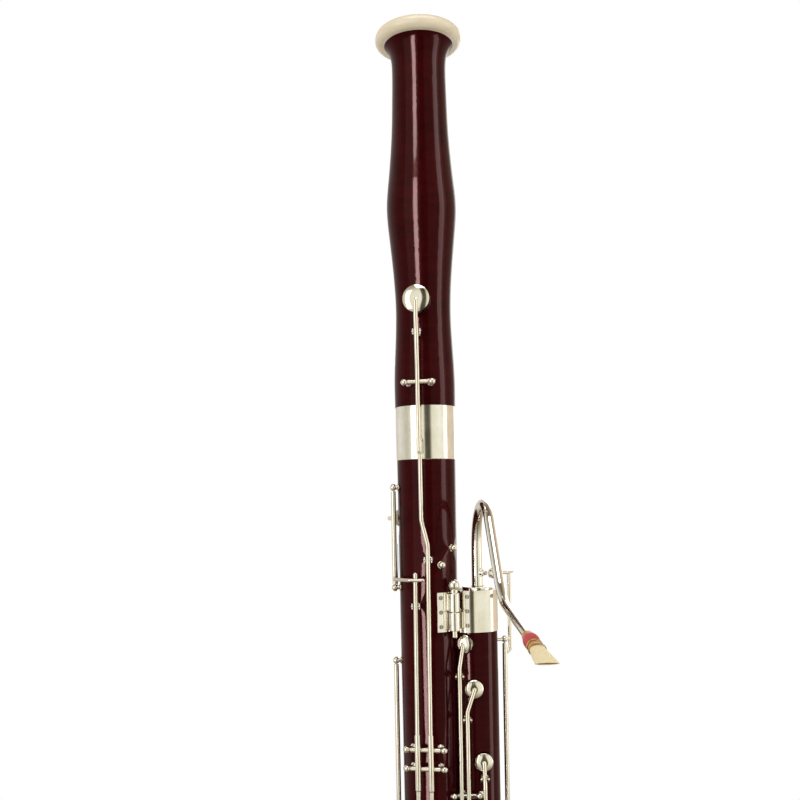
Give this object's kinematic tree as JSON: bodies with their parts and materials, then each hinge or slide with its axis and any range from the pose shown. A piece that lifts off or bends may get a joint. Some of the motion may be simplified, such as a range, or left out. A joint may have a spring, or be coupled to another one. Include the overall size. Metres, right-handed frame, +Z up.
{
  "type": "bassoon",
  "caption": "Double-reed woodwind with a folded conical bore: bell, long joint, wing joint, boot, curved metal bocal, reed and sprung keywork.",
  "frame": {"origin": "centre of the boot cap's flat foot, midway between the two bores", "axes": "+Z up the instrument towards the bell, -Y the thumb side, +Y the fingers side, +X from the long joint to the wing joint"},
  "size_m": [0.1067, 0.2652, 1.3285],
  "materials": {
    "lacquered_maple": "gloss lacquer",
    "white_ring": "polished",
    "cork": "waxed",
    "cane": "scraped",
    "reed_wire": "bright",
    "thread": "waxed",
    "steel": "polished",
    "plated_keywork": "polished nickel"
  },
  "bodies": {
    "instrument": {"boot_joint": "lacquered_maple", "boot_top_band": "plated_keywork", "bow_gasket": "cork", "bow_plate": "plated_keywork", "bow": "plated_keywork", "bow_screws": "steel", "boot_posts": "plated_keywork", "boot_pins": "steel", "strap_ring": "plated_keywork", "hand_rest_plate": "plated_keywork", "long_joint": "lacquered_maple", "long_joint_corks": "cork", "long_joint_posts": "plated_keywork", "long_joint_studs": "plated_keywork", "long_joint_pins": "steel", "long_lock_plate": "plated_keywork", "wing_joint": "lacquered_maple", "wing_joint_cork": "cork", "wing_joint_posts": "plated_keywork", "wing_joint_pins": "steel", "wing_lock_band": "plated_keywork", "bocal_receiver": "plated_keywork", "lever_guides": "plated_keywork", "lock_screws": "steel"},
    "bell_section": {"bell": "lacquered_maple", "bell_ring": "white_ring", "bell_ferrule": "plated_keywork", "bell_tone_hole_rim": "plated_keywork", "bell_posts": "plated_keywork", "bell_key_pin": "steel"},
    "boot_cap": {"boot_cap": "plated_keywork"},
    "lock_pin": {"lock_pin": "plated_keywork"},
    "bocal": {"bocal": "plated_keywork", "bocal_cork": "cork", "bocal_pip": "plated_keywork"},
    "reed": {"reed_blades": "cane", "reed_wires": "reed_wire", "reed_binding": "thread"},
    "hand_rest_screw": {"hand_rest_screw": "plated_keywork"},
    "bell_key": {"bell_key": "plated_keywork"},
    "b_flat_lever": {"b_flat_lever": "plated_keywork"},
    "low_b_lever": {"low_b_lever": "plated_keywork"},
    "low_b_key": {"low_b_key": "plated_keywork"},
    "c_sharp_key": {"c_sharp_key": "plated_keywork"},
    "e_flat_key": {"e_flat_key": "plated_keywork"},
    "low_c_key": {"low_c_key": "plated_keywork"},
    "low_d_key": {"low_d_key": "plated_keywork"},
    "high_d_key": {"high_d_key": "plated_keywork"},
    "high_c_key": {"high_c_key": "plated_keywork"},
    "high_a_key": {"high_a_key": "plated_keywork"},
    "thumb_c_sharp_key": {"thumb_c_sharp_key": "plated_keywork"},
    "whisper_key": {"whisper_key": "plated_keywork"},
    "pancake_key": {"pancake_key": "plated_keywork"},
    "b_flat_thumb_key": {"b_flat_thumb_key": "plated_keywork"},
    "f_sharp_thumb_key": {"f_sharp_thumb_key": "plated_keywork"},
    "g_sharp_thumb_key": {"g_sharp_thumb_key": "plated_keywork"},
    "g_key": {"g_key": "plated_keywork"},
    "f_sharp_key": {"f_sharp_key": "plated_keywork"},
    "g_sharp_key": {"g_sharp_key": "plated_keywork"},
    "low_f_key": {"low_f_key": "plated_keywork"}
  },
  "joints": [
    {"name": "bell_key_hinge", "type": "hinge", "parent": "bell_section", "child": "bell_key", "pos_m": [-0.02482, -0.02739, 1.053], "axis": [0.9781, -0.2079, 0], "range_deg": [-3.93, 0], "stiffness_Nm_per_rad": 0.02, "springref_deg": 28.65},
    {"name": "b_flat_lever_hinge", "type": "hinge", "parent": "instrument", "child": "b_flat_lever", "pos_m": [-0.02457, -0.02621, 0.7757], "axis": [0.9781, -0.2079, 0], "range_deg": [0, 0.82], "stiffness_Nm_per_rad": 0.02, "springref_deg": -28.65},
    {"name": "low_b_lever_hinge", "type": "hinge", "parent": "instrument", "child": "low_b_lever", "pos_m": [-0.02457, -0.02621, 0.7614], "axis": [0.9781, -0.2079, 0], "range_deg": [0, 0.98], "stiffness_Nm_per_rad": 0.02, "springref_deg": -28.65},
    {"name": "low_b_key_hinge", "type": "hinge", "parent": "instrument", "child": "low_b_key", "pos_m": [-0.0452, -0.00462, 0.93525], "axis": [0, 0, 1], "range_deg": [-7.2, 0], "stiffness_Nm_per_rad": 0.02, "springref_deg": 28.65},
    {"name": "c_sharp_key_hinge", "type": "hinge", "parent": "instrument", "child": "c_sharp_key", "pos_m": [-0.04538, 0.00092, 0.7395], "axis": [0, 0, 1], "range_deg": [-9, 0], "stiffness_Nm_per_rad": 0.02, "springref_deg": 28.65},
    {"name": "e_flat_key_hinge", "type": "hinge", "parent": "instrument", "child": "e_flat_key", "pos_m": [-0.03724, 0.01824, 0.59], "axis": [0, 0, 1], "range_deg": [-11, 0], "stiffness_Nm_per_rad": 0.02, "springref_deg": 28.65},
    {"name": "low_c_key_hinge", "type": "hinge", "parent": "instrument", "child": "low_c_key", "pos_m": [-0.04392, -0.00668, 0.568], "axis": [0, 0, 1], "range_deg": [0, 7.5], "stiffness_Nm_per_rad": 0.02, "springref_deg": -28.65},
    {"name": "low_d_key_hinge", "type": "hinge", "parent": "instrument", "child": "low_d_key", "pos_m": [-0.02441, -0.02543, 0.455], "axis": [0.9781, -0.2079, 0], "range_deg": [-4, 0], "stiffness_Nm_per_rad": 0.02, "springref_deg": 28.65},
    {"name": "high_d_key_hinge", "type": "hinge", "parent": "instrument", "child": "high_d_key", "pos_m": [0.0032, -0.0206, 0.7386], "axis": [1, 0, 0], "range_deg": [0, 2], "stiffness_Nm_per_rad": 0.02, "springref_deg": -28.65},
    {"name": "high_c_key_hinge", "type": "hinge", "parent": "instrument", "child": "high_c_key", "pos_m": [0.0092, -0.0206, 0.7386], "axis": [1, 0, 0], "range_deg": [0, 2.5], "stiffness_Nm_per_rad": 0.02, "springref_deg": -28.65},
    {"name": "high_a_key_hinge", "type": "hinge", "parent": "instrument", "child": "high_a_key", "pos_m": [0.0202, -0.0206, 0.7], "axis": [1, 0, 0], "range_deg": [0, 3.5], "stiffness_Nm_per_rad": 0.02, "springref_deg": -28.65},
    {"name": "thumb_c_sharp_key_hinge", "type": "hinge", "parent": "instrument", "child": "thumb_c_sharp_key", "pos_m": [0.021, -0.0204, 0.6], "axis": [1, 0, 0], "range_deg": [-5, 0], "stiffness_Nm_per_rad": 0.02, "springref_deg": 28.65},
    {"name": "whisper_key_hinge", "type": "hinge", "parent": "instrument", "child": "whisper_key", "pos_m": [0.04024, 0.00773, 0.7465], "axis": [0, 0, 1], "range_deg": [-8.5, 0], "stiffness_Nm_per_rad": 0.02, "springref_deg": 28.65},
    {"name": "pancake_key_hinge", "type": "hinge", "parent": "instrument", "child": "pancake_key", "pos_m": [0.02, -0.0266, 0.398], "axis": [0, 0, 1], "range_deg": [-6.3, 0], "stiffness_Nm_per_rad": 0.02, "springref_deg": 28.65},
    {"name": "b_flat_thumb_key_hinge", "type": "hinge", "parent": "instrument", "child": "b_flat_thumb_key", "pos_m": [-0.0138, -0.0289, 0.322], "axis": [1, 0, 0], "range_deg": [-4, 0], "stiffness_Nm_per_rad": 0.02, "springref_deg": 28.65},
    {"name": "f_sharp_thumb_key_hinge", "type": "hinge", "parent": "instrument", "child": "f_sharp_thumb_key", "pos_m": [0, -0.0289, 0.322], "axis": [1, 0, 0], "range_deg": [-3, 0], "stiffness_Nm_per_rad": 0.02, "springref_deg": 28.65},
    {"name": "g_sharp_thumb_key_hinge", "type": "hinge", "parent": "instrument", "child": "g_sharp_thumb_key", "pos_m": [0.0138, -0.0289, 0.322], "axis": [1, 0, 0], "range_deg": [-2.2, 0], "stiffness_Nm_per_rad": 0.02, "springref_deg": 28.65},
    {"name": "g_key_hinge", "type": "hinge", "parent": "instrument", "child": "g_key", "pos_m": [0.0398, 0.01625, 0.312], "axis": [0, 0, 1], "range_deg": [0, 6], "stiffness_Nm_per_rad": 0.02, "springref_deg": -28.65},
    {"name": "f_sharp_key_hinge", "type": "hinge", "parent": "instrument", "child": "f_sharp_key", "pos_m": [0.04139, 0.01399, 0.247], "axis": [0, 0, 1], "range_deg": [0, 8], "stiffness_Nm_per_rad": 0.02, "springref_deg": -28.65},
    {"name": "g_sharp_key_hinge", "type": "hinge", "parent": "instrument", "child": "g_sharp_key", "pos_m": [0.04139, 0.01399, 0.154], "axis": [0, 0, 1], "range_deg": [0, 8], "stiffness_Nm_per_rad": 0.02, "springref_deg": -28.65},
    {"name": "low_f_key_hinge", "type": "hinge", "parent": "instrument", "child": "low_f_key", "pos_m": [-0.04015, 0.02042, 0.192], "axis": [0, 0, 1], "range_deg": [-7.1, 0], "stiffness_Nm_per_rad": 0.02, "springref_deg": 28.65},
    {"name": "bell_pull", "type": "slide", "parent": "instrument", "child": "bell_section", "axis": [0, 0, 1], "range_m": [0, 0.036]},
    {"name": "cap_pull", "type": "slide", "parent": "instrument", "child": "boot_cap", "axis": [0, 0, -1], "range_m": [0, 0.06]},
    {"name": "lock_pin_pull", "type": "slide", "parent": "instrument", "child": "lock_pin", "axis": [0, 0, 1], "range_m": [0, 0.02]},
    {"name": "bocal_turn", "type": "hinge", "parent": "instrument", "child": "bocal", "pos_m": [0.019, 0, 0.88], "axis": [0, 0, 1], "range_deg": [-12, 25]},
    {"name": "hand_rest_screw_turn", "type": "hinge", "parent": "instrument", "child": "hand_rest_screw", "pos_m": [0.0484, -0.0034, 0.352], "axis": [0, -1, 0], "continuous": true},
    {"name": "reed_pull", "type": "slide", "parent": "bocal", "child": "reed", "axis": [0.0775, -0.9852, -0.1527], "range_m": [0, 0.012]}
  ],
  "couplings": [
    {"joint": "bell_key_hinge", "follows": "b_flat_lever_hinge", "ratio": -4.7175},
    {"joint": "low_b_key_hinge", "follows": "low_b_lever_hinge", "ratio": -7.2755}
  ]
}
